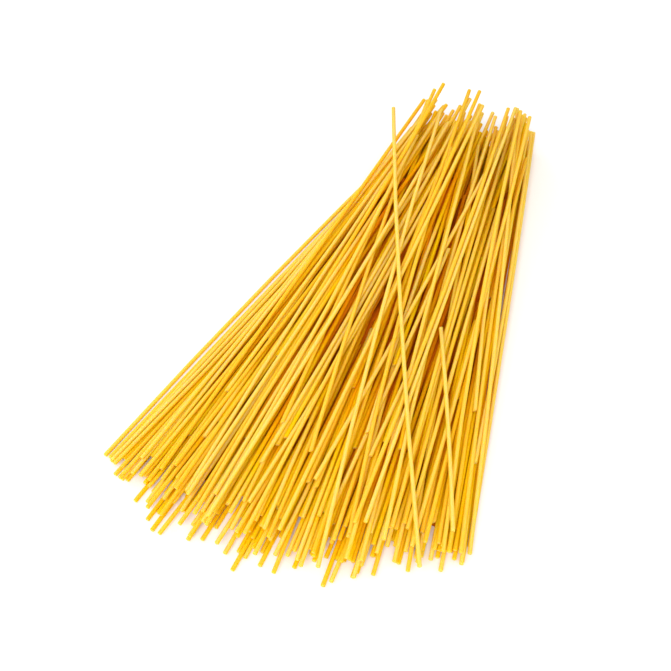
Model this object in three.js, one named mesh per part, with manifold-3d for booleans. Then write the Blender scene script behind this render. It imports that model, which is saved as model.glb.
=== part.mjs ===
// A bundle of dry spaghetti, let go of on a table: a low heap of straight strands
// that lie close together at one end and fan out towards the other.
// Millimetres, +Z up. The strands run along Y, with the wide end of the fan at -Y,
// and the origin is on the table, under the middle of the heap.
//
// The heap is worked out by laying strands down one after another. Each one is a
// slightly bowed rod that slides sideways to the lowest place near where it is
// dropped, and then comes to rest on the strands below it. The solid is a core just
// under the surface of that heap, with the strands that show most fused to it.

import * as THREE from 'three';
import { mergeVertices } from 'three/addons/utils/BufferGeometryUtils.js';
import Module from 'manifold-3d';

// The strands
const STRAND_LENGTH = 250;
const STRAND_DIAMETER = 1.9;
const STRAND_COUNT = 285;
const BROKEN_SHARE = 0.4;
const SHORTEST_SHARE = 0.4;
const LONGEST_BROKEN_SHARE = 0.95;
const BROKEN_AT_FAR_END = 0.35;
const LARGEST_BOW = 4.5;

// The fan: where strands lie across it, at the close (far) and the wide (near) end
const FAR_LEFT = -28;
const FAR_WIDTH = 56;
const NEAR_LEFT = -75;
const NEAR_WIDTH = 152;
const FAR_LINE_Y = 115.5;
const FAR_LINE_SLANT = 0.28;
const SLIP_OF_TOP = -8;
const END_UNEVENNESS = 9;
const SLIDE_OF_LEFT = 70;

// How the heap is laid down: first a calm bed, then strands that cross more and more
const SEED = 55;
const BED_SHARE = 0.5;
const TOP_FAR_OFFSET = 0.05;
const TOP_NEAR_OFFSET = 0.2;
const LARGEST_BUNCH = 2;
const BUNCH_STRIDE = 0.618;
const BUNCH_SPREAD = 0.08;
const CALM_CROSSING = 0.1;
const WILD_FROM = 0.5;
const WILD_AT = 1;
const CROSSING = 0.55;
const OWN_CROSSING = 0.5;
const SETTLE_STEPS = { near: 6, far: 5 };
const SETTLE_NEAR_STEP = 1.3;
const SETTLE_FAR_STEP = 0.75;
const SAGS = [-2.4, -1.6, -0.8, 0.8, 1.6, 2.4];

// Four strands that were laid on last, by the places of their ends
const TOP_STRANDS = [
  { near: [-22, -150], far: [-8, 96], bow: 2 },
  { near: [30, -152], far: [-14, 100], bow: -2 },
  { near: [75, -114], far: [34, -23], bow: 1 },
  { near: [68, -134], far: [-36, 88], bow: -2.5 },
];

// The heap is followed at evenly spaced stations along Y
const STATION_STEP = 4;
const FIRST_STATION = -180;
const STATION_COUNT = 83;

// The solid
const SHOWN_STRANDS = 76;
const STUBS_PER_END = 25;
const STUB_ROOT = 8;
const SECTION_SIDES = 6;
const STRAND_STEPS = 3;
const COVERING_WIDTH = 0.75 * STRAND_DIAMETER;
const VIEW_SIDES = [[0, 1], [-0.8, 0.6], [0.8, 0.6]];
const CORE_STATIONS = 13;
const CORE_COLUMNS = 12;
const CORE_DEPTH = 0.9 * STRAND_DIAMETER;
const CORE_EDGE_HEIGHT = 1.2;
const CORE_REACH = 2 * STRAND_DIAMETER;
const CORE_END_INSET = 11;

const NO_STRAND = -1e6;
const LEAST_GAIN = 1e-9;
const MERGE_REACH = 1e-4;

// A seeded random source, the same on every run
const DICE_FACTOR = 1664525;
const DICE_STEP = 1013904223;
const DICE_RANGE = 2 ** 32;

function makeDice(seed) {
  let state = seed;
  const roll = () => {
    state = (Math.imul(state, DICE_FACTOR) + DICE_STEP) >>> 0;
    return state / DICE_RANGE;
  };
  const bell = () => (roll() + roll() + roll() - 1.5) / 1.5;
  return { roll, bell };
}

const stationY = (index) => FIRST_STATION + STATION_STEP * index;

// The line that a rod rests on: the edge of the supports' upper hull above its middle
function restLine(ys, heights, middle) {
  const hull = [];
  for (let i = 0; i < ys.length; i += 1) {
    while (hull.length > 1) {
      const [ay, ah] = hull[hull.length - 2];
      const [by, bh] = hull[hull.length - 1];
      if ((by - ay) * (heights[i] - ah) - (bh - ah) * (ys[i] - ay) < 0) break;
      hull.pop();
    }
    hull.push([ys[i], heights[i]]);
  }
  for (let i = 1; i < hull.length; i += 1) {
    const [ay, ah] = hull[i - 1];
    const [by, bh] = hull[i];
    if (by >= middle) {
      const slope = (bh - ah) / (by - ay);
      return { base: ah - slope * ay, slope };
    }
  }
  throw new Error('a strand lies outside the stations');
}

// One trial position of a strand on the heap, with the height at which it rests
function tryStrand(heap, near, far, bow, sag) {
  const run = far[0] - near[0];
  const rise = far[1] - near[1];
  const slant = rise / Math.sqrt(run * run + rise * rise);
  const first = Math.ceil((near[1] - FIRST_STATION) / STATION_STEP);
  const last = Math.floor((far[1] - FIRST_STATION) / STATION_STEP);
  const ys = [];
  const xs = [];
  const heights = [];
  const humps = [];
  for (let k = first; k <= last; k += 1) {
    const y = stationY(k);
    const s = (y - near[1]) / rise;
    const x = near[0] + run * s + 4 * bow * s * (1 - s);
    let height = STRAND_DIAMETER / 2;
    for (const other of heap) {
      if (k < other.first || k > other.last) continue;
      const gap = (other.x[k] - x) * slant;
      const room = STRAND_DIAMETER * STRAND_DIAMETER - gap * gap;
      if (room > 0) height = Math.max(height, other.z[k] + Math.sqrt(room));
    }
    const hump = 4 * sag * (s * (1 - s));
    ys.push(y);
    xs.push(x);
    humps.push(hump);
    heights.push(height - hump);
  }
  const middle = (near[1] + far[1]) / 2;
  const { base, slope } = restLine(ys, heights, middle);
  const zs = ys.map((y, i) => base + slope * y + humps[i]);
  return {
    near: [near[0], near[1], base + slope * near[1]],
    far: [far[0], far[1], base + slope * far[1]],
    bow,
    sag,
    first,
    last,
    xs,
    zs,
    meanHeight: base + slope * middle + sag * 2 / 3,
  };
}

// Lays one strand down where it comes to rest lowest, and adds it to the heap
function dropStrand(heap, near, far, bow, shifts) {
  let best = null;
  const consider = (shift, sag) => {
    const movedNear = [near[0] + shift[0], near[1]];
    const movedFar = [far[0] + shift[1], far[1]];
    const trial = tryStrand(heap, movedNear, movedFar, bow, sag);
    if (!best || trial.meanHeight < best.meanHeight - LEAST_GAIN) {
      best = trial;
      best.shift = shift;
    }
  };
  for (const shift of shifts) consider(shift, 0);
  const settled = best.shift;
  for (const sag of SAGS) consider(settled, sag);
  best.x = new Float64Array(STATION_COUNT);
  best.z = new Float64Array(STATION_COUNT).fill(NO_STRAND);
  best.xs.forEach((x, i) => {
    best.x[best.first + i] = x;
    best.z[best.first + i] = best.zs[i];
  });
  heap.push(best);
}

// Every pair of sideways shifts of the near and far end that a strand may settle by
function sidewaysShifts() {
  const shifts = [];
  for (let a = -SETTLE_STEPS.near; a <= SETTLE_STEPS.near; a += 1) {
    for (let b = -SETTLE_STEPS.far; b <= SETTLE_STEPS.far; b += 1) {
      shifts.push([a * SETTLE_NEAR_STEP, b * SETTLE_FAR_STEP]);
    }
  }
  return shifts;
}

// Strands come in small bunches that lie nearly parallel: where the next bunch lies
// across the fan at either end, and how far it leans from the fan's own direction
function nextBunch({ roll, bell }, level, lastPlace) {
  const left = 1 + Math.floor(LARGEST_BUNCH * roll());
  const place = (lastPlace + BUNCH_STRIDE) % 1;
  let farPlace = place;
  let nearPlace = place;
  if (level > BED_SHARE) {
    farPlace = TOP_FAR_OFFSET + (1 - TOP_FAR_OFFSET) * place;
    nearPlace = TOP_NEAR_OFFSET + (1 - TOP_NEAR_OFFSET) * place;
  }
  const wildness = Math.min(1, Math.max(0, level - WILD_FROM) / (WILD_AT - WILD_FROM));
  const crossing = CALM_CROSSING + (1 - CALM_CROSSING) * wildness;
  return { left, place, farPlace, nearPlace, crossing, lean: bell() };
}

// A place across the fan, folded back inside where it would lie past an edge
function foldedBack(place) {
  if (place < 0) return -place;
  return place > 1 ? 2 - place : place;
}

// The ends of one strand of a bunch, before it settles
function strandEnds({ roll, bell }, level, bunch) {
  const aside = BUNCH_SPREAD * (roll() - 0.5);
  const lean = bunch.lean + OWN_CROSSING * bell();
  const place = foldedBack(bunch.farPlace + aside);
  const nearPlace = foldedBack(bunch.nearPlace + aside + CROSSING * bunch.crossing * lean);
  const farX = FAR_LEFT + FAR_WIDTH * place;
  const nearX = NEAR_LEFT + NEAR_WIDTH * nearPlace;
  let share = 1;
  if (roll() < BROKEN_SHARE) {
    const loss = roll();
    share = LONGEST_BROKEN_SHARE - (LONGEST_BROKEN_SHARE - SHORTEST_SHARE) * loss * loss;
  }
  const leftSlide = SLIDE_OF_LEFT * (1 - place) * place * (2 - place) * roll();
  const slide = SLIP_OF_TOP * level + END_UNEVENNESS * bell() + leftSlide;
  const farY = FAR_LINE_Y + FAR_LINE_SLANT * farX - slide;
  const run = nearX - farX;
  const rise = Math.sqrt(STRAND_LENGTH * STRAND_LENGTH - run * run);
  if (share < 1 && roll() < BROKEN_AT_FAR_END) {
    return { near: [nearX, farY - rise], far: [nearX - run * share, farY - rise + rise * share] };
  }
  return { near: [farX + run * share, farY - rise * share], far: [farX, farY] };
}

// The whole heap, strand by strand from the table up
function layHeap() {
  const dice = makeDice(SEED);
  const heap = [];
  const settling = sidewaysShifts();
  let bunch = { left: 0, place: 0 };
  for (let i = 0; i < STRAND_COUNT; i += 1) {
    const level = i / STRAND_COUNT;
    if (bunch.left === 0) bunch = nextBunch(dice, level, bunch.place);
    bunch.left -= 1;
    const { near, far } = strandEnds(dice, level, bunch);
    dropStrand(heap, near, far, LARGEST_BOW * dice.bell(), settling);
  }
  for (const { near, far, bow } of TOP_STRANDS) {
    dropStrand(heap, near, far, bow, [[0, 0]]);
  }
  return heap;
}

// Whether nothing lies between a strand and one of the sides it may be seen from
function isShown(heap, strand, k, [across, up]) {
  return !heap.some((other) => {
    if (other === strand || k < other.first || k > other.last) return false;
    const dx = other.x[k] - strand.x[k];
    const dz = other.z[k] - strand.z[k];
    const ahead = dx * across + dz * up;
    const aside = Math.abs(dx * up - dz * across);
    return ahead > 0 && aside < COVERING_WIDTH;
  });
}

// At how many stations a strand shows, counted for each side
function shownStations(heap, strand) {
  let shown = 0;
  for (let k = strand.first; k <= strand.last; k += 1) {
    shown += VIEW_SIDES.filter((side) => isShown(heap, strand, k, side)).length;
  }
  return shown;
}

// The strands of the heap, the one that shows most first
function byShownLength(heap) {
  const ranked = heap.map((strand) => ({ strand, shown: shownStations(heap, strand) }));
  ranked.sort((a, b) => b.shown - a.shown);
  return ranked.map(({ strand }) => strand);
}

// The middle line of a strand, with frames that keep a corner of the section on top
class StrandPath extends THREE.QuadraticBezierCurve3 {
  computeFrenetFrames(steps) {
    const tangents = [];
    const normals = [];
    const binormals = [];
    for (let i = 0; i <= steps; i += 1) {
      const tangent = this.getTangentAt(i / steps);
      const normal = new THREE.Vector3(0, 0, 1);
      normal.addScaledVector(tangent, -tangent.z).normalize();
      tangents.push(tangent);
      normals.push(normal);
      binormals.push(new THREE.Vector3().crossVectors(tangent, normal));
    }
    return { tangents, normals, binormals };
  }
}

function strandPath(strand, centre) {
  const near = new THREE.Vector3(...strand.near).sub(centre);
  const far = new THREE.Vector3(...strand.far).sub(centre);
  const control = near.clone().add(far).multiplyScalar(0.5);
  control.x += 2 * strand.bow;
  control.z += 2 * strand.sag;
  return new StrandPath(near, control, far);
}

// A section with few sides and the same area as the round strand
function strandSection() {
  const sector = 2 * Math.PI / SECTION_SIDES;
  const radius = STRAND_DIAMETER / 2 * Math.sqrt(sector / Math.sin(sector));
  const corners = [];
  for (let i = 0; i < SECTION_SIDES; i += 1) {
    corners.push(new THREE.Vector2(radius * Math.cos(i * sector), radius * Math.sin(i * sector)));
  }
  return new THREE.Shape(corners);
}

function sweptGeometry(section, path, steps) {
  return new THREE.ExtrudeGeometry(section, { steps, bevelEnabled: false, extrudePath: path });
}

// The last stretch of a strand, of a given length, up to one of its ends
function stubPath(path, length, fromFarEnd) {
  const share = length / path.getLength();
  const start = path.getPoint(fromFarEnd ? 1 - share : 0);
  const end = path.getPoint(fromFarEnd ? 1 : share);
  return new StrandPath(start, start.clone().lerp(end, 0.5), end);
}

// The surface of the heap at one station: its edges, and its height near one place
function edgesAt(heap, k) {
  const there = heap.filter((strand) => strand.z[k] > NO_STRAND);
  const xs = there.map((strand) => strand.x[k]);
  return { left: Math.min(...xs), right: Math.max(...xs) };
}

function surfaceHeight(heap, k, x, reach) {
  const step = STRAND_DIAMETER / 2;
  let sum = 0;
  let count = 0;
  for (let offset = -reach; offset <= reach; offset += step) {
    let top = 0;
    for (const strand of heap) {
      if (Math.abs(strand.x[k] - x - offset) < step) top = Math.max(top, strand.z[k]);
    }
    sum += top;
    count += 1;
  }
  return sum / count;
}

// Where the core starts and ends at one place across the fan
function coreSpan(across) {
  const farX = FAR_LEFT + FAR_WIDTH * across;
  const run = NEAR_LEFT + NEAR_WIDTH * across - farX;
  const farY = FAR_LINE_Y + FAR_LINE_SLANT * farX - SLIP_OF_TOP / 2;
  const nearY = farY - Math.sqrt(STRAND_LENGTH * STRAND_LENGTH - run * run);
  return { nearY: nearY + CORE_END_INSET, farY: farY - CORE_END_INSET };
}

// How far a strand sticks out past the end of the core
function reachPastCore({ near, far }, fromFarEnd) {
  if (fromFarEnd) return far[1] - coreSpan((far[0] - FAR_LEFT) / FAR_WIDTH).farY;
  return coreSpan((near[0] - NEAR_LEFT) / NEAR_WIDTH).nearY - near[1];
}

// The stretches that stick out furthest at one end, of strands hidden in the heap,
// each long enough to be rooted in the core
function stubPaths(hidden, centre, fromFarEnd) {
  const ranked = [...hidden];
  ranked.sort((a, b) => reachPastCore(b, fromFarEnd) - reachPastCore(a, fromFarEnd));
  return ranked.slice(0, STUBS_PER_END).map((strand) => {
    const length = reachPastCore(strand, fromFarEnd) + STUB_ROOT;
    return stubPath(strandPath(strand, centre), length, fromFarEnd);
  });
}

// The core: a box whose top is pulled down to just below the surface of the heap
function coreGeometry(heap, centre) {
  const box = new THREE.BoxGeometry(1, 1, 1, CORE_COLUMNS, CORE_STATIONS, 1);
  const position = box.attributes.position;
  for (let i = 0; i < position.count; i += 1) {
    const across = position.getX(i) + 0.5;
    const along = position.getY(i) + 0.5;
    const { nearY, farY } = coreSpan(across);
    const y = nearY + (farY - nearY) * along;
    const k = Math.round((y - FIRST_STATION) / STATION_STEP);
    const { left, right } = edgesAt(heap, k);
    const x = left + (right - left) * across;
    let z = 0;
    if (position.getZ(i) > 0) {
      const height = surfaceHeight(heap, k, x, CORE_REACH) - CORE_DEPTH;
      const column = Math.round(across * CORE_COLUMNS);
      const onEdge = column === 0 || column === CORE_COLUMNS;
      z = onEdge ? CORE_EDGE_HEIGHT : Math.max(CORE_EDGE_HEIGHT, height);
    }
    position.setXYZ(i, x - centre.x, y - centre.y, z);
  }
  return box;
}

// The middle of the heap on the table, from the ends of its strands
function heapCentre(heap) {
  const ends = heap.flatMap(({ near, far }) => [new THREE.Vector3(...near), new THREE.Vector3(...far)]);
  const box = new THREE.Box3().setFromPoints(ends);
  return new THREE.Vector3((box.min.x + box.max.x) / 2, (box.min.y + box.max.y) / 2, 0);
}

const wasm = await Module();
wasm.setup();

function toSolid(geometry) {
  const bare = geometry.clone();
  bare.deleteAttribute('normal');
  bare.deleteAttribute('uv');
  const merged = mergeVertices(bare, MERGE_REACH);
  return new wasm.Manifold(new wasm.Mesh({
    numProp: 3,
    vertProperties: Float32Array.from(merged.attributes.position.array),
    triVerts: Uint32Array.from(merged.index.array),
  }));
}

function toGeometry(solid) {
  const mesh = solid.getMesh();
  const geometry = new THREE.BufferGeometry();
  geometry.setAttribute('position', new THREE.BufferAttribute(new Float32Array(mesh.vertProperties), 3));
  geometry.setIndex(new THREE.BufferAttribute(new Uint32Array(mesh.triVerts), 1));
  geometry.computeVertexNormals();
  return geometry;
}

// Everything below the table top is cut away, so that the lowest strands lie flat
function underTable() {
  const size = 2 * STRAND_LENGTH;
  const slab = new THREE.BoxGeometry(size, size, STRAND_DIAMETER);
  slab.translate(0, 0, -STRAND_DIAMETER / 2);
  return slab;
}

// The largest body alone: loose scraps go, and sealed hollows are filled
function largestBody(solid) {
  const bodies = solid.decompose();
  bodies.sort((a, b) => b.volume() - a.volume());
  return bodies[0];
}

function bundleGeometry() {
  const heap = layHeap();
  const centre = heapCentre(heap);
  const section = strandSection();
  let solid = toSolid(coreGeometry(heap, centre));
  const ranked = byShownLength(heap);
  for (const strand of ranked.slice(0, SHOWN_STRANDS)) {
    solid = solid.add(toSolid(sweptGeometry(section, strandPath(strand, centre), STRAND_STEPS)));
  }
  const hidden = ranked.slice(SHOWN_STRANDS);
  for (const path of [...stubPaths(hidden, centre, true), ...stubPaths(hidden, centre, false)]) {
    solid = solid.add(toSolid(sweptGeometry(section, path, 1)));
  }
  solid = solid.subtract(toSolid(underTable()));
  return toGeometry(largestBody(solid));
}

const pasta = new THREE.MeshStandardMaterial({ color: 0xf3bb2a, roughness: 0.5, metalness: 0 });

const bundle = new THREE.Mesh(bundleGeometry(), pasta);
bundle.name = 'spaghetti_bundle';

const model = new THREE.Group();
model.add(bundle);

export default model;
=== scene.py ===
import math

import bmesh
import bpy
import numpy as np
from bpy.props import FloatProperty, FloatVectorProperty, IntProperty, PointerProperty
from bpy.types import Operator, Panel, PropertyGroup
from mathutils import Matrix, Vector


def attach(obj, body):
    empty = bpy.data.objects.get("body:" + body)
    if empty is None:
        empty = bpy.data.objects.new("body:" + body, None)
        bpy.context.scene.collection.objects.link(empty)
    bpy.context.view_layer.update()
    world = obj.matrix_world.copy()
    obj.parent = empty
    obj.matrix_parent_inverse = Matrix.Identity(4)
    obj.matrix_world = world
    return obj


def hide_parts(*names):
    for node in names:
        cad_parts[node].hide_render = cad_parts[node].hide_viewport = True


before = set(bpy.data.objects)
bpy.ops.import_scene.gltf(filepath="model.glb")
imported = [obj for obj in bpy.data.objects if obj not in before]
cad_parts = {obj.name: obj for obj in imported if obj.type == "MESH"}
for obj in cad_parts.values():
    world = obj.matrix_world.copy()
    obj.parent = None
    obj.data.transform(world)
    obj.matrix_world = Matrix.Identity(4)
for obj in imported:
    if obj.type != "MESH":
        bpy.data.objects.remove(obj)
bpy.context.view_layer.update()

bl_info = {
    "name": "Dry Spaghetti Bundle",
    "version": (1, 0, 0),
    "blender": (4, 5, 0),
    "location": "3D View > Sidebar > Spaghetti",
    "description": "Lays down a loose, fanned-out heap of dry spaghetti, strand by strand",
    "category": "Add Mesh",
}

NODE = "spaghetti_bundle"
BODY = "root"
MM = 0.001

# The dice: each state is the last one times the factor, plus the step, wrapped at the range
DICE_FACTOR = 1664525
DICE_STEP = 1013904223
DICE_RANGE = 2 ** 32

# The heap is laid in millimetres, by the rule and from the seed that shape the frame's solid
SEED = 55

# How short the broken strands are, and what share of them lost their far end
SHORTEST_SHARE = 0.4
LONGEST_BROKEN_SHARE = 0.95
BROKEN_AT_FAR_END = 0.35

# The fan: where its left edge and its far end lie, and how unevenly the strands end
FAR_LEFT = -28
NEAR_LEFT = -75
FAR_LINE_Y = 115.5
FAR_LINE_SLANT = 0.28
SLIP_OF_TOP = -8
END_UNEVENNESS = 9
SLIDE_OF_LEFT = 70

# First a calm bed, then small bunches of strands that cross more and more
BED_SHARE = 0.5
TOP_FAR_OFFSET = 0.05
TOP_NEAR_OFFSET = 0.2
LARGEST_BUNCH = 2
BUNCH_STRIDE = 0.618
BUNCH_SPREAD = 0.08
CALM_CROSSING = 0.1
WILD_FROM = 0.5
WILD_AT = 1
CROSSING = 0.55
OWN_CROSSING = 0.5

# How a strand may settle: sideways at its near and far end, and by sagging or arching
SETTLE_STEPS = (6, 5)
SETTLE_NEAR_STEP = 1.3
SETTLE_FAR_STEP = 0.75
SAGS = (-2.4, -1.6, -0.8, 0.8, 1.6, 2.4)
LEAST_GAIN = 1e-9

# The strands laid on last, by the places of their near and far ends, their sideways bow
# and the end at which they are broken
TOP_STRANDS = (
    ((-22, -150), (-8, 96), 2, None),
    ((30, -152), (-14, 100), -2, None),
    ((75, -114), (34, -23), 1, "far"),
    ((68, -134), (-36, 88), -2.5, None),
)

# The heap is followed at evenly spaced stations along Y
STATION_STEP = 4
FIRST_STATION = -180
STATION_COUNT = 83
STATIONS = FIRST_STATION + STATION_STEP * np.arange(STATION_COUNT)
NO_STRAND = -1e6

# The mesh of one strand, a little thicker than the rod that the heap was laid with
SIDES = 10
LENGTH_STEPS = 4
THINNEST = 1.01
THICKEST = 1.05
CUT_BEVEL = 0.16 * MM
BREAK_REACH = 1.5 * CUT_BEVEL
BREAK_SLANT = 0.6
BREAK_CHIP = 0.25 * MM
BREAK_SEED = 5
WHOLE_SEED = 11
BROKEN_SEED = 23

# The pasta's painted shade deepens with a strand's depth, and its painted highlight shows only near the
# surface
# A strand's depth runs from 0, this far above the heap's surface, to 1, this far under it
PROUD = 2
OUT_OF_SIGHT = 6

# The core: its grid, and in strand diameters how far under the surface it stays
# and over what reach to each side that surface is evened out
CORE_COLUMNS = 40
CORE_ROWS = 30
CORE_DEPTH = 3.2
CORE_REACH = 2

# How far it stays from the heap's sides and from the middle one of the nearest ends, over
# what length it rises from its thin foot, and how much a face looks up that is smooth
CORE_SIDE_INSET = 5
CORE_END_INSET = 14
CORE_NEIGHBOURS = 30
CORE_TAPER = 30
CORE_FOOT = 0.5
CORE_SMOOTH_FROM = 0.3

# The layers of the finishes: where each begins and is fully there, and its share then
DIE_LINES = (0.35, 0.75, 0.35)
CLOUDS = (0.4, 0.75, 0.4)
FLOUR_SPECKS = (0.58, 0.75, 0.2)
# CROWN places the painted highlight along the top of a strand
CROWN = (0.28, 0.44, 1)
SHADED = (0.3, 0.55, 1)
# Painted shade at the bottom of the gaps: where a strand lies deepest it darkens to the gap colour
DEEPEST_SHADE = (0.55, 0.9, 1)
CHALK = (0.35, 0.7, 1)
# The core's lines mix its two colours of painted shade
CORE_LINES = (0.35, 0.65, 1)

# The painted highlight, pale as flour, along the tops of the uppermost strands: the depths
# over which it fades, how strong it is, and what share of that the plainest of them has
HIGHLIGHT_DEPTHS = (0.1, 0.27)
HIGHLIGHT = 0.8
LEAST_HIGHLIGHT = 0.2

# The patterns: how each is squeezed along the axes, its fineness, detail and roughness, and
# its relief as the strength and the height of a bump
LINE_SQUEEZE = (26, 9, 1)
LINE_PATTERN = (1, 3, 0.6)
LINE_RELIEF = (0.35, 0.06 * MM)
CLOUD_SQUEEZE = (1, 0.25, 1)
CLOUD_PATTERN = (160, 2, 0.5)
SPECK_PATTERN = (1500, 1, 0.5)
CHALK_PATTERN = (2600, 3, 0.6)
CHALK_RELIEF = (0.5, 0.15 * MM)
CORE_SQUEEZE = (1, 0.03, 1)
CORE_PATTERN = (420, 2, 0.5)
CORE_RELIEF = (1.0, 1.0 * MM)

# Which sockets of the Mix node are its two colours and the mixed one, as their names repeat
MIX_COLOURS = (6, 7)
MIXED_COLOUR = 2

# How rough the other surfaces are, how much smoother and rougher than its setting a strand
# is between and on the die's lines, and how faint its shine is
CUT_ROUGHNESS = 0.75
CORE_ROUGHNESS = 0.8
TABLE_ROUGHNESS = 0.6
LINE_ROUGHNESS = (-0.08, 0.12)
ROUGH_LINES = (0.3, 0.8)
SHINE = 0.05

# Light inside the pasta: how much of it goes in, and how far its red, green and blue get
TRANSLUCENCY = 0.9
LIGHT_DEPTH = 2.5 * MM
LIGHT_REACH = (1.0, 0.65, 0.10)

# The stage: table and lights in metres, and in millimetres the camera's sensor and the
# place in the heap that it looks at
TABLE_SIZE = 6
KEY_PLACE = (0.2, -1.2, 1.6)
KEY_SIZE = 1.2
FILL_PLACE = (-1.5, 0.6, 1.1)
FILL_SIZE = 1.0
SENSOR_WIDTH = 36
LOOK_AT = (-15.0, -33.0, 0)


# ---------------------------------------------------------------- settings

class StrandSettings(PropertyGroup):
    length: FloatProperty(
        name="Length", description="Length of a whole strand",
        default=0.25, unit="LENGTH")
    diameter: FloatProperty(
        name="Diameter", description="Thickness of a strand",
        default=0.0019, unit="LENGTH")
    count: IntProperty(
        name="Strands", description="How many strands are dropped, before those laid on last",
        default=285, min=1)
    broken: FloatProperty(
        name="Broken", description="Share of the strands that are broken",
        default=0.40, subtype="FACTOR", min=0, max=1)
    bow: FloatProperty(
        name="Bow", description="Largest sideways bow of a strand",
        default=0.0045, unit="LENGTH")
    near_width: FloatProperty(
        name="Open end", description="Width of the fan at its open end",
        default=0.152, unit="LENGTH")
    far_width: FloatProperty(
        name="Close end", description="Width of the fan at its close end",
        default=0.056, unit="LENGTH")


class PastaSettings(PropertyGroup):
    amber: FloatVectorProperty(
        name="Amber", description="Colour of the darker strands",
        default=(0.90, 0.47, 0.0005), subtype="COLOR")
    yellow: FloatVectorProperty(
        name="Yellow", description="Colour of the lighter strands",
        default=(0.90, 0.54, 0.0005), subtype="COLOR")
    # The flour colour of the specks and the cut ends is also the painted highlight along the tops of the
    # uppermost strands
    flour_and_highlight: FloatVectorProperty(
        name="Flour", description="Colour of the floury bloom and of the cut ends",
        default=(0.90, 0.62, 0.18), subtype="COLOR")
    # Painted shade: strands under the top ones take this darker orange in place of the light lost between
    # the strands
    depth: FloatVectorProperty(
        name="Depth", description="Colour of the strands under the top ones",
        default=(0.95, 0.39, 0.0005), subtype="COLOR")
    # Painted shade at the bottom of the gaps between the strands, also the lighter lines of the packed core
    gap: FloatVectorProperty(
        name="Gap", description="Colour at the bottom of the gaps between the strands",
        default=(0.66, 0.15, 0.0005), subtype="COLOR")
    # Painted shade: the packed core is this dark red-brown for the shade deep inside the heap
    core: FloatVectorProperty(
        name="Core", description="Colour of the darkest parts of the packed core",
        default=(0.25, 0.04, 0.0005), subtype="COLOR")
    roughness: FloatProperty(
        name="Roughness", description="Roughness of the dry surface",
        default=0.6, subtype="FACTOR", min=0, max=1)


class StageSettings(PropertyGroup):
    floor: FloatVectorProperty(
        name="Table", description="Colour of the table top",
        default=(0.92, 0.92, 0.92), subtype="COLOR")
    sky: FloatProperty(
        name="Room light", description="Strength of the even light from all round",
        default=0.8, min=0)
    key: FloatProperty(
        name="Key light", description="Power of the large soft light",
        default=24.0, unit="POWER", min=0)
    fill: FloatProperty(
        name="Fill light", description="Power of the soft light from behind",
        default=6.0, unit="POWER", min=0)
    azimuth: FloatProperty(
        name="Azimuth", description="Direction the camera looks from",
        default=math.radians(24), unit="ROTATION")
    elevation: FloatProperty(
        name="Elevation", description="How steeply the camera looks down",
        default=math.radians(53.5), unit="ROTATION")
    distance: FloatProperty(
        name="Distance", description="From the camera to the point it looks at",
        default=0.566, unit="LENGTH")
    lens: FloatProperty(
        name="Focal length", description="Focal length of the camera",
        default=62.8, unit="CAMERA")


class SpaghettiSettings(PropertyGroup):
    strand: PointerProperty(type=StrandSettings)
    pasta: PointerProperty(type=PastaSettings)
    stage: PointerProperty(type=StageSettings)


# ---------------------------------------------------------------- the heap

class HeapSizes:
    """The strand settings in millimetres, rounded so that every run gives the same heap."""

    def __init__(self, settings):
        self.length = round(settings.length / MM, 3)
        self.diameter = round(settings.diameter / MM, 3)
        self.bow = round(settings.bow / MM, 3)
        self.near_width = round(settings.near_width / MM, 3)
        self.far_width = round(settings.far_width / MM, 3)
        self.broken = round(settings.broken, 4)
        self.count = settings.count


class Dice:
    """A seeded random source, the same on every run."""

    def __init__(self, seed):
        self.state = seed

    def roll(self):
        """Anything from 0 up to 1, evenly."""
        self.state = (DICE_FACTOR * self.state + DICE_STEP) % DICE_RANGE
        return self.state / DICE_RANGE

    def bell(self):
        """Anything from -1 to 1, most often near 0."""
        return (self.roll() + self.roll() + self.roll() - 1.5) / 1.5


class Strand:
    """A slightly bowed rod at rest on the heap, in millimetres."""

    def __init__(self, near, far, bow, sag, base, slope):
        self.near = np.array([near[0], near[1], base + slope * near[1]])
        self.far = np.array([far[0], far[1], base + slope * far[1]])
        self.bow = bow
        self.sag = sag
        self.broken_end = None

    def bend(self, swell):
        """How the bow and the sag move points aside and up."""
        return np.stack((self.bow * swell, 0 * swell, self.sag * swell), axis=1)

    def points(self, s):
        """Points on its middle line, at shares of its length from its near end."""
        return self.near + (self.far - self.near) * s[:, None] + self.bend(4 * s * (1 - s))

    def directions(self, s):
        """The directions in which it runs at such points."""
        along = self.far - self.near + self.bend(4 - 8 * s)
        return along / np.linalg.norm(along, axis=1)[:, None]

    def from_open_end(self, s):
        """How far such points are from the nearer end, leaving out a broken end inside the heap."""
        from_near = 1 if self.broken_end == "near" else s
        from_far = 1 if self.broken_end == "far" else 1 - s
        return np.minimum(from_near, from_far) * np.linalg.norm(self.far - self.near)

    def stations(self):
        """The first and the last station that it runs past."""
        return first_station_after(self.near[1]), last_station_before(self.far[1])


def first_station_after(y):
    return math.ceil((y - FIRST_STATION) / STATION_STEP)


def last_station_before(y):
    return math.floor((y - FIRST_STATION) / STATION_STEP)


def nearest_station(y):
    return round((y - FIRST_STATION) / STATION_STEP)


def rest_line(ys, heights, middle):
    """The line that a rod rests on: the edge of the supports' upper hull above its middle."""
    hull = []
    for y, height in zip(ys, heights):
        while len(hull) > 1:
            (ay, ah), (by, bh) = hull[-2:]
            if (by - ay) * (height - ah) - (bh - ah) * (y - ay) < 0:
                break
            hull.pop()
        hull.append((y, height))
    for (ay, ah), (by, bh) in zip(hull, hull[1:]):
        if by >= middle:
            slope = (bh - ah) / (by - ay)
            return ah - slope * ay, slope
    raise RuntimeError("a strand lies outside the stations")


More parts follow.
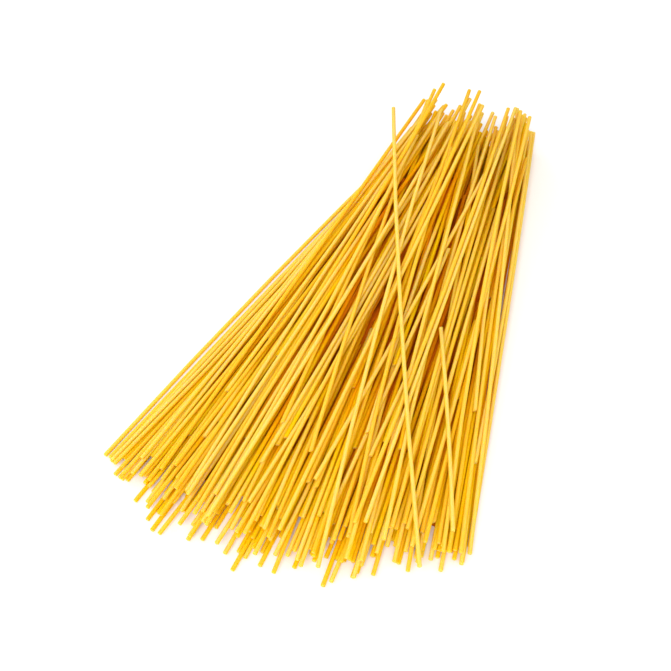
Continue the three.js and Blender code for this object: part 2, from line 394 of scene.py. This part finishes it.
class Heap:
    """Strands at rest on each other, and where each one runs at the stations along Y."""

    def __init__(self, capacity, diameter):
        self.diameter = diameter
        self.xs = np.zeros((capacity, STATION_COUNT))
        self.zs = np.full((capacity, STATION_COUNT), float(NO_STRAND))
        self.strands = []

    def attempt(self, near, far, bow, sag):
        """One trial position of a strand on the heap, with the height at which it rests."""
        run = far[0] - near[0]
        rise = far[1] - near[1]
        slant = rise / math.sqrt(run * run + rise * rise)
        there = slice(first_station_after(near[1]), last_station_before(far[1]) + 1)
        ys = STATIONS[there]
        s = (ys - near[1]) / rise
        xs = near[0] + run * s + 4 * bow * s * (1 - s)
        heights = np.full(len(ys), self.diameter / 2)
        count = len(self.strands)
        if count:
            gap = (self.xs[:count, there] - xs) * slant
            room = self.diameter * self.diameter - gap * gap
            lifts = np.sqrt(np.maximum(room, 0))
            tops = np.where(room > 0, self.zs[:count, there] + lifts, NO_STRAND)
            heights = np.maximum(heights, tops.max(axis=0))
        hump = 4 * sag * (s * (1 - s))
        middle = (near[1] + far[1]) / 2
        base, slope = rest_line(ys.tolist(), (heights - hump).tolist(), middle)
        return {
            "mean_height": base + slope * middle + sag * 2 / 3,
            "strand": Strand(near, far, bow, sag, base, slope),
            "stations": there,
            "xs": xs,
            "zs": base + slope * ys + hump,
        }

    def drop(self, near, far, bow, shifts):
        """Lays one strand down where it comes to rest lowest."""
        best = None
        for shift in shifts:
            trial = self.attempt((near[0] + shift[0], near[1]), (far[0] + shift[1], far[1]), bow, 0)
            if best is None or trial["mean_height"] < best["mean_height"] - LEAST_GAIN:
                best = trial
                settled = shift
        near = (near[0] + settled[0], near[1])
        far = (far[0] + settled[1], far[1])
        for sag in SAGS:
            trial = self.attempt(near, far, bow, sag)
            if trial["mean_height"] < best["mean_height"] - LEAST_GAIN:
                best = trial
        index = len(self.strands)
        self.xs[index, best["stations"]] = best["xs"]
        self.zs[index, best["stations"]] = best["zs"]
        self.strands.append(best["strand"])
        return best["strand"]

    def edges(self, k):
        """Where the outermost strands on the left and right lie at one station."""
        there = self.zs[:, k] > NO_STRAND
        return self.xs[there, k].min(), self.xs[there, k].max()

    def surface(self, k, x, reach):
        """Mean height of the top strands near a place on one station."""
        step = self.diameter / 2
        tops = []
        for offset in np.arange(-reach, reach + LEAST_GAIN, step):
            close = np.abs(self.xs[:, k] - x - offset) < step
            tops.append(max(0.0, self.zs[close, k].max()) if close.any() else 0.0)
        return sum(tops) / len(tops)


def sideways_shifts():
    """Every pair of sideways shifts of the near and far end that a strand may settle by."""
    near_steps, far_steps = SETTLE_STEPS
    return [
        (a * SETTLE_NEAR_STEP, b * SETTLE_FAR_STEP)
        for a in range(-near_steps, near_steps + 1)
        for b in range(-far_steps, far_steps + 1)
    ]


class Bunch:
    """A few strands that lie nearly parallel, and lean from the fan's own direction together."""

    def __init__(self, dice, level, last_place):
        self.left = 1 + int(LARGEST_BUNCH * dice.roll())
        self.place = (last_place + BUNCH_STRIDE) % 1
        self.far_place = self.place
        self.near_place = self.place
        if level > BED_SHARE:
            self.far_place = TOP_FAR_OFFSET + (1 - TOP_FAR_OFFSET) * self.place
            self.near_place = TOP_NEAR_OFFSET + (1 - TOP_NEAR_OFFSET) * self.place
        wildness = min(1, max(0, level - WILD_FROM) / (WILD_AT - WILD_FROM))
        self.crossing = CALM_CROSSING + (1 - CALM_CROSSING) * wildness
        self.lean = dice.bell()


def folded_back(place):
    """A place across the fan, folded back inside where it would lie past an edge."""
    if place < 0:
        return -place
    return 2 - place if place > 1 else place


def strand_ends(dice, level, bunch, sizes):
    """The ends of one strand of a bunch before it settles, and which of them is a broken one."""
    aside = BUNCH_SPREAD * (dice.roll() - 0.5)
    lean = bunch.lean + OWN_CROSSING * dice.bell()
    place = folded_back(bunch.far_place + aside)
    near_place = folded_back(bunch.near_place + aside + CROSSING * bunch.crossing * lean)
    far_x = FAR_LEFT + sizes.far_width * place
    near_x = NEAR_LEFT + sizes.near_width * near_place
    share = 1
    if dice.roll() < sizes.broken:
        loss = dice.roll()
        share = LONGEST_BROKEN_SHARE - (LONGEST_BROKEN_SHARE - SHORTEST_SHARE) * loss * loss
    left_slide = SLIDE_OF_LEFT * (1 - place) * place * (2 - place) * dice.roll()
    slide = SLIP_OF_TOP * level + END_UNEVENNESS * dice.bell() + left_slide
    far_y = FAR_LINE_Y + FAR_LINE_SLANT * far_x - slide
    run = near_x - far_x
    rise = math.sqrt(sizes.length * sizes.length - run * run)
    if share < 1 and dice.roll() < BROKEN_AT_FAR_END:
        broken_far = (near_x - run * share, far_y - rise + rise * share)
        return (near_x, far_y - rise), broken_far, "far"
    near = (far_x + run * share, far_y - rise * share)
    return near, (far_x, far_y), "near" if share < 1 else None


def lay_heap(sizes):
    """The whole heap, strand by strand from the table up."""
    dice = Dice(SEED)
    heap = Heap(sizes.count + len(TOP_STRANDS), sizes.diameter)
    settling = sideways_shifts()
    bunch = None
    for i in range(sizes.count):
        level = i / sizes.count
        if bunch is None or bunch.left == 0:
            bunch = Bunch(dice, level, bunch.place if bunch else 0)
        bunch.left -= 1
        near, far, broken_end = strand_ends(dice, level, bunch, sizes)
        strand = heap.drop(near, far, sizes.bow * dice.bell(), settling)
        strand.broken_end = broken_end
    for near, far, bow, broken_end in TOP_STRANDS:
        strand = heap.drop(near, far, bow, [(0, 0)])
        strand.broken_end = broken_end
    return heap


def heap_centre(heap):
    """The middle of the heap on the table, from the ends of its strands."""
    ends = np.array([end for strand in heap.strands for end in (strand.near, strand.far)])
    middle = (ends.min(axis=0) + ends.max(axis=0)) / 2
    return np.array([middle[0], middle[1], 0.0])


LAID_HEAPS = {}


def laid_heap():
    """The heap for the scene's settings, and its middle. It is laid once for the same sizes."""
    sizes = HeapSizes(bpy.context.scene.spaghetti.strand)
    key = tuple(vars(sizes).values())
    if key not in LAID_HEAPS:
        heap = lay_heap(sizes)
        LAID_HEAPS[key] = (heap, heap_centre(heap))
    return LAID_HEAPS[key]


# ---------------------------------------------------------------- meshes

def unwrap_along(bm, length):
    """A UV map with U round the strand, its seam underneath, and V along it."""
    layer = bm.loops.layers.uv.new("UVMap")
    for face in bm.faces:
        middle = face.calc_center_median()
        centre_angle = math.atan2(middle.x, middle.z)
        for loop in face.loops:
            angle = math.atan2(loop.vert.co.x, loop.vert.co.z)
            if angle - centre_angle > math.pi:
                angle -= 2 * math.pi
            if angle - centre_angle < -math.pi:
                angle += 2 * math.pi
            loop[layer].uv = (angle / (2 * math.pi) + 0.5, loop.vert.co.y / length)


def snap_off(bm, length, dice):
    """Breaks the template's far end: a slanted, chipped face in place of the clean cut."""
    for vert in bm.verts:
        if vert.co.y > length - BREAK_REACH:
            slant = BREAK_SLANT * vert.co.x + BREAK_CHIP * dice.bell()
            vert.co.y += slant - BREAK_CHIP


def strand_template(settings, broken):
    """One straight strand along +Y from the origin, with its far end broken if asked for."""
    radius = settings.diameter / 2
    length = settings.length
    turn = Matrix.Rotation(math.pi / 2, 3, "X")
    bm = bmesh.new()
    bmesh.ops.create_cone(bm, cap_ends=True, segments=SIDES, radius1=radius, radius2=radius, depth=length)
    bmesh.ops.rotate(bm, verts=bm.verts, cent=(0, 0, 0), matrix=turn)
    bmesh.ops.translate(bm, verts=bm.verts, vec=(0, length / 2, 0))
    lengthwise = [e for e in bm.edges if abs(e.verts[0].co.y - e.verts[1].co.y) > length / 2]
    bmesh.ops.subdivide_edges(bm, edges=lengthwise, cuts=LENGTH_STEPS - 1, use_grid_fill=True)
    rims = [e for e in bm.edges if any(len(f.verts) == SIDES for f in e.link_faces)]
    bmesh.ops.bevel(bm, geom=rims, offset=CUT_BEVEL, offset_type="OFFSET", affect="EDGES", segments=1,
                    profile=0.5, material=-1)
    if broken:
        snap_off(bm, length, Dice(BREAK_SEED))
    unwrap_along(bm, length)
    for face in bm.faces:
        is_cut = len(face.verts) == SIDES
        face.material_index = 1 if is_cut else 0
        face.smooth = not is_cut
    mesh = bpy.data.meshes.new("strand_template")
    bm.to_mesh(mesh)
    bm.free()
    return mesh


def template_points(template):
    """The places of the template's vertices, a row for each."""
    flat = np.zeros(3 * len(template.vertices))
    template.vertices.foreach_get("co", flat)
    return flat.reshape(-1, 3)


def bent_along(strand, s, across, above, centre):
    """Points on a strand, by their share of its length and how far from its middle line they are.

    None of them is let through the table, so the lowest strands have a flat face to lie on.
    """
    middle = (strand.points(s) - centre) * MM
    along = strand.directions(s)
    side = np.stack((along[:, 1], -along[:, 0], 0 * s), axis=1)
    side /= np.linalg.norm(side, axis=1)[:, None]
    up = np.cross(side, along)
    points = middle + side * across[:, None] + up * above[:, None]
    points[:, 2] = np.maximum(points[:, 2], 0)
    return points


def depths(heap, strand):
    """How deep a strand lies in the heap: 0 proud of its surface, 1 out of sight, at even steps along it.

    It lies as deep as the nearest way out is long: up, aside or past its open end.
    """
    steps = np.linspace(0, 1, LENGTH_STEPS + 1)
    first, last = strand.stations()
    deep = []
    for (x, y, z), endways in zip(strand.points(steps), strand.from_open_end(steps)):
        k = min(max(nearest_station(y), first), last)
        left = heap.surface(k, x - heap.diameter, heap.diameter)
        right = heap.surface(k, x + heap.diameter, heap.diameter)
        left_edge, right_edge = heap.edges(k)
        under = min(left - z, right - z, x - left_edge, right_edge - x, endways)
        deep.append(min(1, max(0, (under + PROUD) / (OUT_OF_SIGHT + PROUD))))
    return steps, deep


def lay_strands(bm, strands, template, length, dice):
    """Adds one copy of the template for each strand, with its own tone and its depth in the heap.

    Only the template's far end can be broken, so a strand that lost its near end is turned round.
    """
    heap, centre = laid_heap()
    tone = bm.verts.layers.float.new("tone")
    # The depth sets the pasta's painted shade and where its painted highlight shows
    depth = bm.verts.layers.float.new("depth")
    x, y, z = template_points(template).T
    last_laid = heap.strands[-len(TOP_STRANDS):]
    for strand in strands:
        bm.from_mesh(template)
        bm.verts.ensure_lookup_table()
        thickness = THINNEST + (THICKEST - THINNEST) * dice.roll()
        # The strands laid on last get the lightest tone, and so the full painted highlight
        shade = 1 if strand in last_laid else dice.roll()
        turned = strand.broken_end == "near"
        s = 1 - y / length if turned else y / length
        across = -x if turned else x
        points = bent_along(strand, s, across * thickness, z * thickness, centre)
        under = np.interp(s, *depths(heap, strand))
        for vert, point, deep in zip(bm.verts[-len(s):], points, under):
            vert.co = point
            vert[tone] = shade
            vert[depth] = deep


def new_piece(name, bm, materials):
    """Makes a piece from a finished bmesh and lets it ride on the frame."""
    mesh = bpy.data.meshes.new(name)
    bm.to_mesh(mesh)
    bm.free()
    for material in materials:
        mesh.materials.append(material)
    piece = bpy.data.objects.new(name, mesh)
    bpy.context.scene.collection.objects.link(piece)
    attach(piece, BODY)
    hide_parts(NODE)


def strands_piece(name, strands, broken, seed):
    """Makes one piece of the whole strands or of the broken ones."""
    settings = bpy.context.scene.spaghetti
    template = strand_template(settings.strand, broken)
    bm = bmesh.new()
    bm.loops.layers.uv.new("UVMap")
    lay_strands(bm, strands, template, settings.strand.length, Dice(seed))
    bpy.data.meshes.remove(template)
    outside = finished("dry_pasta", dry_pasta, settings.pasta)
    cut = finished("cut_pasta", cut_pasta, settings.pasta)
    new_piece(name, bm, [outside, cut])


def core_ends(heap, across):
    """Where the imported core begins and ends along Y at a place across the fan."""
    strands = sorted(heap.strands, key=lambda strand: strand.near[0])
    start = round((len(strands) - CORE_NEIGHBOURS) * across)
    neighbours = strands[start:start + CORE_NEIGHBOURS]
    near_y, far_y = np.median([(strand.near[1], strand.far[1]) for strand in neighbours], axis=0)
    return near_y + CORE_END_INSET, far_y - CORE_END_INSET


def core_bmesh(heap, centre):
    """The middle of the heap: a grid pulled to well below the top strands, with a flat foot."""
    bm = bmesh.new()
    bmesh.ops.create_grid(bm, x_segments=CORE_COLUMNS, y_segments=CORE_ROWS, size=0.5)
    top = list(bm.faces)
    for vert in bm.verts:
        across = vert.co.x + 0.5
        near_y, far_y = core_ends(heap, across)
        y = near_y + (far_y - near_y) * (vert.co.y + 0.5)
        k = nearest_station(y)
        left, right = heap.edges(k)
        x = left + CORE_SIDE_INSET + (right - left - 2 * CORE_SIDE_INSET) * across
        full = heap.surface(k, x, CORE_REACH * heap.diameter) - CORE_DEPTH * heap.diameter
        z = max(CORE_FOOT, full * min(1, (y - near_y) / CORE_TAPER, (far_y - y) / CORE_TAPER))
        vert.co = (Vector((x, y, z)) - Vector(centre)) * MM
    made = bmesh.ops.extrude_face_region(bm, geom=top)["geom"]
    for vert in made:
        if isinstance(vert, bmesh.types.BMVert):
            vert.co.z = 0
    bmesh.ops.recalc_face_normals(bm, faces=bm.faces)
    for face in bm.faces:
        face.smooth = face.normal.z > CORE_SMOOTH_FROM
    return bm


# ---------------------------------------------------------------- materials

class Nodes:
    """Short names for making and linking the nodes of one material."""

    def __init__(self, material):
        material.use_nodes = True
        self.tree = material.node_tree
        self.shader = self.tree.nodes["Principled BSDF"]

    def add(self, kind, **settings):
        """A new node with its settings."""
        node = self.tree.nodes.new(kind)
        for name, value in settings.items():
            setattr(node, name, value)
        return node

    def link(self, source, target):
        self.tree.links.new(source, target)

    def surface(self, name, value):
        """Gives a socket of the material's shader a plain value or what another socket gives."""
        if isinstance(value, bpy.types.NodeSocket):
            self.link(value, self.shader.inputs[name])
        else:
            self.shader.inputs[name].default_value = value

    def attribute(self, name):
        """A number kept at each vertex of the strands."""
        return self.add("ShaderNodeAttribute", attribute_name=name).outputs["Fac"]

    def squeezed(self, coordinates, squeeze):
        """Coordinates that squeeze a pattern along the axes, or stretch it by less than 1."""
        node = self.add("ShaderNodeMapping")
        node.inputs["Scale"].default_value = squeeze
        self.link(coordinates, node.inputs["Vector"])
        return node.outputs["Vector"]

    def noise(self, vector, pattern):
        """A cloudy pattern, from 0 to 1."""
        scale, detail, roughness = pattern
        node = self.add("ShaderNodeTexNoise")
        node.inputs["Scale"].default_value = scale
        node.inputs["Detail"].default_value = detail
        node.inputs["Roughness"].default_value = roughness
        self.link(vector, node.inputs["Vector"])
        return node.outputs["Fac"]

    def spread(self, value, low, high, to_low, to_high):
        """A value from one range spread over another, and held at its ends."""
        node = self.add("ShaderNodeMapRange", clamp=True)
        node.inputs["From Min"].default_value = low
        node.inputs["From Max"].default_value = high
        node.inputs["To Min"].default_value = to_low
        node.inputs["To Max"].default_value = to_high
        self.link(value, node.inputs["Value"])
        return node.outputs["Result"]

    def layer(self, value, limits):
        """How much of a layer there is: none below its first limit, its share past its second."""
        low, high, share = limits
        return self.spread(value, low, high, 0, share)

    def math(self, operation, first, second):
        """One sum of a socket with another socket or a plain number."""
        node = self.add("ShaderNodeMath", operation=operation)
        self.link(first, node.inputs[0])
        if isinstance(second, bpy.types.NodeSocket):
            self.link(second, node.inputs[1])
        else:
            node.inputs[1].default_value = second
        return node.outputs["Value"]

    def crown(self, uv):
        """1 along the top of a strand, where U is one half, and 0 on its sides and underneath. It places
        the painted highlight.
        """
        split = self.add("ShaderNodeSeparateXYZ")
        self.link(uv, split.inputs["Vector"])
        return self.layer(self.math("PINGPONG", split.outputs["X"], 0.5), CROWN)

    def mix(self, factor, first, second):
        """A colour between two others, each a socket or a plain colour."""
        node = self.add("ShaderNodeMix", data_type="RGBA")
        self.link(factor, node.inputs["Factor"])
        for place, colour in zip(MIX_COLOURS, (first, second)):
            if isinstance(colour, bpy.types.NodeSocket):
                self.link(colour, node.inputs[place])
            else:
                node.inputs[place].default_value = (*colour, 1)
        return node.outputs[MIXED_COLOUR]

    def bump(self, pattern, relief):
        """Raises a pattern from the surface, by a strength and a height."""
        strength, height = relief
        node = self.add("ShaderNodeBump")
        node.inputs["Strength"].default_value = strength
        node.inputs["Distance"].default_value = height
        self.link(pattern, node.inputs["Height"])
        self.surface("Normal", node.outputs["Normal"])

    def let_light_in(self):
        """Dry pasta is slightly see-through: light spreads inside it, red the furthest."""
        self.surface("Subsurface Weight", TRANSLUCENCY)
        self.surface("Subsurface Radius", LIGHT_REACH)
        self.surface("Subsurface Scale", LIGHT_DEPTH)


def dry_pasta(nodes, colours):
    """The outside of a strand: amber, drawn lengthwise by the die, with a faint painted highlight along its
    top and painted shade by its depth in the heap.
    """
    place = nodes.add("ShaderNodeTexCoord")
    tone = nodes.attribute("tone")
    depth = nodes.attribute("depth")
    lines = nodes.noise(nodes.squeezed(place.outputs["UV"], LINE_SQUEEZE), LINE_PATTERN)
    clouds = nodes.noise(nodes.squeezed(place.outputs["Object"], CLOUD_SQUEEZE), CLOUD_PATTERN)
    specks = nodes.noise(place.outputs["Object"], SPECK_PATTERN)
    ground = nodes.mix(tone, colours.amber, colours.yellow)
    drawn = nodes.mix(nodes.layer(lines, DIE_LINES), ground, colours.yellow)
    cloudy = nodes.mix(nodes.layer(clouds, CLOUDS), drawn, colours.amber)
    floury = nodes.mix(nodes.layer(specks, FLOUR_SPECKS), cloudy, colours.flour_and_highlight)
    # Painted highlight: pale flour along the top of each strand near the heap's surface, strongest on the
    # lightest strands
    highlight_on_top = nodes.spread(depth, *HIGHLIGHT_DEPTHS, HIGHLIGHT, 0)
    highlight_by_tone = nodes.spread(tone, 0, 1, LEAST_HIGHLIGHT, 1)
    highlight = nodes.math("MULTIPLY", nodes.math("MULTIPLY", highlight_on_top, highlight_by_tone), nodes.crown(place.outputs["UV"]))
    highlighted = nodes.mix(highlight, floury, colours.flour_and_highlight)
    # Painted shade: the strand darkens to the depth colour as it lies deeper, and to the gap colour where
    # it lies deepest
    shaded = nodes.mix(nodes.layer(depth, SHADED), highlighted, colours.depth)
    deepest_shaded = nodes.mix(nodes.layer(depth, DEEPEST_SHADE), shaded, colours.gap)
    smoother, rougher = LINE_ROUGHNESS
    dry = nodes.spread(lines, *ROUGH_LINES, colours.roughness + smoother, colours.roughness + rougher)
    nodes.surface("Base Color", deepest_shaded)
    nodes.surface("Roughness", dry)
    nodes.surface("Specular IOR Level", SHINE)
    nodes.bump(lines, LINE_RELIEF)
    nodes.let_light_in()


def cut_pasta(nodes, colours):
    """The cut and broken ends: paler, chalky and grainy."""
    place = nodes.add("ShaderNodeTexCoord")
    chalk = nodes.noise(place.outputs["Object"], CHALK_PATTERN)
    nodes.surface("Base Color", nodes.mix(nodes.layer(chalk, CHALK), colours.yellow, colours.flour_and_highlight))
    nodes.surface("Roughness", CUT_ROUGHNESS)
    nodes.bump(chalk, CHALK_RELIEF)
    nodes.let_light_in()


def shaded_packed_pasta(nodes, colours):
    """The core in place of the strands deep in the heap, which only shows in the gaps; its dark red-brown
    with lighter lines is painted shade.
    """
    place = nodes.add("ShaderNodeTexCoord")
    lines = nodes.noise(nodes.squeezed(place.outputs["Object"], CORE_SQUEEZE), CORE_PATTERN)
    nodes.surface("Base Color", nodes.mix(nodes.layer(lines, CORE_LINES), colours.core, colours.gap))
    nodes.surface("Roughness", CORE_ROUGHNESS)
    nodes.surface("Specular IOR Level", SHINE)
    nodes.bump(lines, CORE_RELIEF)


def table_top(nodes, stage):
    """A plain, pale table."""
    nodes.surface("Base Color", (*stage.floor, 1))
    nodes.surface("Roughness", TABLE_ROUGHNESS)


def finished(name, finish, settings):
    """The material of that name, made from the settings on its first use."""
    material = bpy.data.materials.get(name)
    if material is None:
        material = bpy.data.materials.new(name)
        finish(Nodes(material), settings)
    return material


# ---------------------------------------------------------------- operators

class SPAGHETTI_OT_core(Operator):
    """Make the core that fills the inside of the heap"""

    bl_idname = "spaghetti.core"
    bl_label = "Packed Core"

    def execute(self, context):
        heap, centre = laid_heap()
        # The core's dark colours are painted shade
        material = finished("shaded_packed_pasta", shaded_packed_pasta, context.scene.spaghetti.pasta)
        new_piece("packed_core", core_bmesh(heap, centre), [material])
        return {"FINISHED"}


class SPAGHETTI_OT_whole_strands(Operator):
    """Lay down the whole strands of the heap"""

    bl_idname = "spaghetti.whole_strands"
    bl_label = "Whole Strands"

    def execute(self, context):
        heap, _ = laid_heap()
        whole = [strand for strand in heap.strands if strand.broken_end is None]
        strands_piece("whole_strands", whole, False, WHOLE_SEED)
        return {"FINISHED"}


class SPAGHETTI_OT_broken_strands(Operator):
    """Lay down the strands that were broken, each with one snapped end"""

    bl_idname = "spaghetti.broken_strands"
    bl_label = "Broken Strands"

    def execute(self, context):
        heap, _ = laid_heap()
        broken = [strand for strand in heap.strands if strand.broken_end]
        strands_piece("broken_strands", broken, True, BROKEN_SEED)
        return {"FINISHED"}


class SPAGHETTI_OT_stage(Operator):
    """Set up the table, the soft light and the camera"""

    bl_idname = "spaghetti.stage"
    bl_label = "Stage"

    def execute(self, context):
        stage = context.scene.spaghetti.stage
        add_table(stage)
        add_lights(context.scene, stage)
        add_camera(context.scene, stage)
        return {"FINISHED"}


def add_table(stage):
    """The plain table that the heap lies on."""
    bm = bmesh.new()
    bmesh.ops.create_grid(bm, x_segments=1, y_segments=1, size=TABLE_SIZE / 2)
    mesh = bpy.data.meshes.new("table")
    bm.to_mesh(mesh)
    bm.free()
    mesh.materials.append(finished("table_top", table_top, stage))
    table = bpy.data.objects.new("table", mesh)
    bpy.context.scene.collection.objects.link(table)


def add_area_light(name, place, size, power):
    """A round, soft light that points at the middle of the table."""
    light = bpy.data.lights.new(name, "AREA")
    light.shape = "DISK"
    light.size = size
    light.energy = power
    lamp = bpy.data.objects.new(name, light)
    lamp.location = place
    lamp.rotation_euler = (-Vector(place)).to_track_quat("-Z", "Y").to_euler()
    bpy.context.scene.collection.objects.link(lamp)


def add_lights(scene, stage):
    """Even light from all round, a large soft light in front and a weaker one behind."""
    world = bpy.data.worlds.new("room")
    world.use_nodes = True
    background = world.node_tree.nodes["Background"]
    background.inputs["Color"].default_value = (1, 1, 1, 1)
    background.inputs["Strength"].default_value = stage.sky
    scene.world = world
    add_area_light("key_light", KEY_PLACE, KEY_SIZE, stage.key)
    add_area_light("fill_light", FILL_PLACE, FILL_SIZE, stage.fill)
    scene.view_settings.view_transform = "Standard"
    scene.view_settings.look = "None"


def add_camera(scene, stage):
    """A camera that looks down on the heap from its open end."""
    back = Vector((
        math.sin(stage.azimuth) * math.cos(stage.elevation),
        -math.cos(stage.azimuth) * math.cos(stage.elevation),
        math.sin(stage.elevation),
    ))
    _, centre = laid_heap()
    target = (Vector(LOOK_AT) - Vector(centre)) * MM
    data = bpy.data.cameras.new("camera")
    data.lens = stage.lens
    data.sensor_width = SENSOR_WIDTH
    camera = bpy.data.objects.new("camera", data)
    camera.location = target + back * stage.distance
    camera.rotation_euler = (-back).to_track_quat("-Z", "Y").to_euler()
    scene.collection.objects.link(camera)
    scene.camera = camera


class VIEW3D_PT_spaghetti(Panel):
    """The bundle's settings and its pieces"""

    bl_label = "Dry Spaghetti Bundle"
    bl_idname = "VIEW3D_PT_spaghetti"
    bl_space_type = "VIEW_3D"
    bl_region_type = "UI"
    bl_category = "Spaghetti"

    def draw(self, context):
        settings = context.scene.spaghetti
        for group in (settings.strand, settings.pasta, settings.stage):
            box = self.layout.box()
            for name in group.__annotations__:
                box.prop(group, name)
        for operator in MAKERS:
            self.layout.operator(operator.bl_idname)


MAKERS = (
    SPAGHETTI_OT_core,
    SPAGHETTI_OT_whole_strands,
    SPAGHETTI_OT_broken_strands,
    SPAGHETTI_OT_stage,
)
CLASSES = (StrandSettings, PastaSettings, StageSettings, SpaghettiSettings, *MAKERS, VIEW3D_PT_spaghetti)


def register():
    for cls in CLASSES:
        bpy.utils.register_class(cls)
    bpy.types.Scene.spaghetti = PointerProperty(type=SpaghettiSettings)


def unregister():
    del bpy.types.Scene.spaghetti
    for cls in reversed(CLASSES):
        bpy.utils.unregister_class(cls)


def main():
    register()
    bpy.ops.spaghetti.core()
    bpy.ops.spaghetti.whole_strands()
    bpy.ops.spaghetti.broken_strands()
    bpy.ops.spaghetti.stage()


if __name__ == "__main__":
    main()
